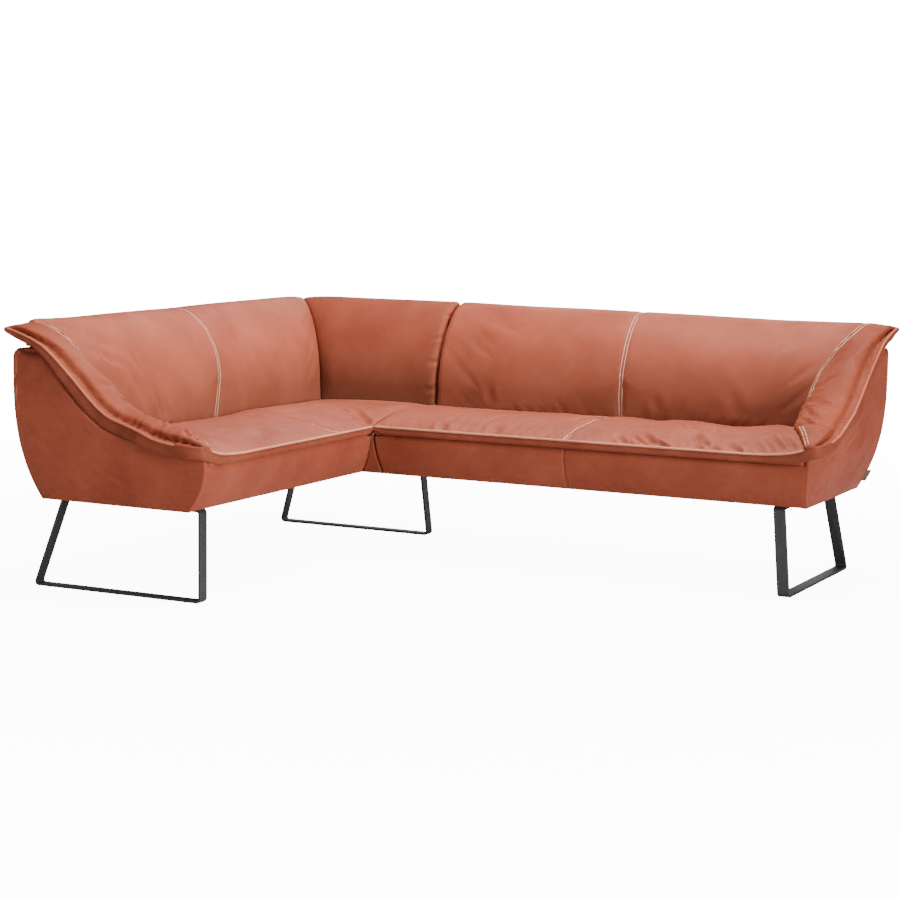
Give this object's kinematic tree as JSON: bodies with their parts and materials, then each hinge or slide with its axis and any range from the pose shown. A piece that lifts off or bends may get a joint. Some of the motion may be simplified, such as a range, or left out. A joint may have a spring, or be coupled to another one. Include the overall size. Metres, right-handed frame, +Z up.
{
  "type": "corner sofa",
  "caption": "Upholstered corner bench sofa in soft leather, a long and a short section meeting at a corner, with padded backs, sloping arms and flat-bar sled legs.",
  "frame": {"origin": "middle of the sofa's bounding box, on the floor", "axes": "+X along the long section towards its arm end, +Y from the long section's front to its back, +Z up; the short section runs from the corner towards -Y on the -X side and faces +X"},
  "size_m": [2.3226, 1.8146, 0.861],
  "materials": {
    "leather": "soft semi-aniline leather, terracotta, fine grain",
    "black_steel": "matt black powder coat",
    "zinc_steel": "zinc-plated",
    "glide_plastic": "matt",
    "frame_timber": "planed beech",
    "plywood": "raw plywood",
    "foam": "cut polyurethane foam",
    "webbing": "woven elastic webbing",
    "dust_cloth": "black spunbond lining",
    "tag_cloth": "plain woven tape"
  },
  "bodies": {
    "root": {"left_leg_frame": "black_steel", "corner_leg_frame": "black_steel", "right_leg_frame": "black_steel", "floor_glides": "glide_plastic", "leg_screws": "zinc_steel", "joining_plates": "zinc_steel", "joining_screws": "zinc_steel", "corner_front_rail": "frame_timber", "corner_rear_rail": "frame_timber", "corner_cross_rails": "frame_timber", "corner_side_rail": "frame_timber", "corner_joint_rail": "frame_timber", "corner_end_rail": "plywood", "corner_back_posts": "frame_timber", "short_top_rail": "frame_timber", "corner_top_rail": "frame_timber", "short_back_board": "plywood", "corner_back_board": "plywood", "corner_webbing": "webbing", "corner_seat_foam": "foam", "left_arm_block": "foam", "short_front_panel": "leather", "inner_corner_panel": "leather", "left_end_panel": "leather", "short_rear_panel": "leather", "corner_rear_panel": "leather", "corner_dust_cover": "dust_cloth", "corner_seat_pad": "leather", "short_back_cushion": "leather", "corner_back_cushion": "leather", "left_arm_pad": "leather", "long_front_rail": "frame_timber", "long_rear_rail": "frame_timber", "long_cross_rails": "frame_timber", "long_joint_rail": "frame_timber", "long_end_rail": "plywood", "long_back_posts": "frame_timber", "long_top_rail": "frame_timber", "long_back_board": "plywood", "long_webbing": "webbing", "long_seat_foam": "foam", "right_arm_block": "foam", "long_front_panel": "leather", "right_end_panel": "leather", "long_rear_panel": "leather", "long_dust_cover": "dust_cloth", "long_seat_pad": "leather", "long_back_cushion": "leather", "right_arm_pad": "leather", "blank_tag": "tag_cloth"}
  },
  "joints": []
}
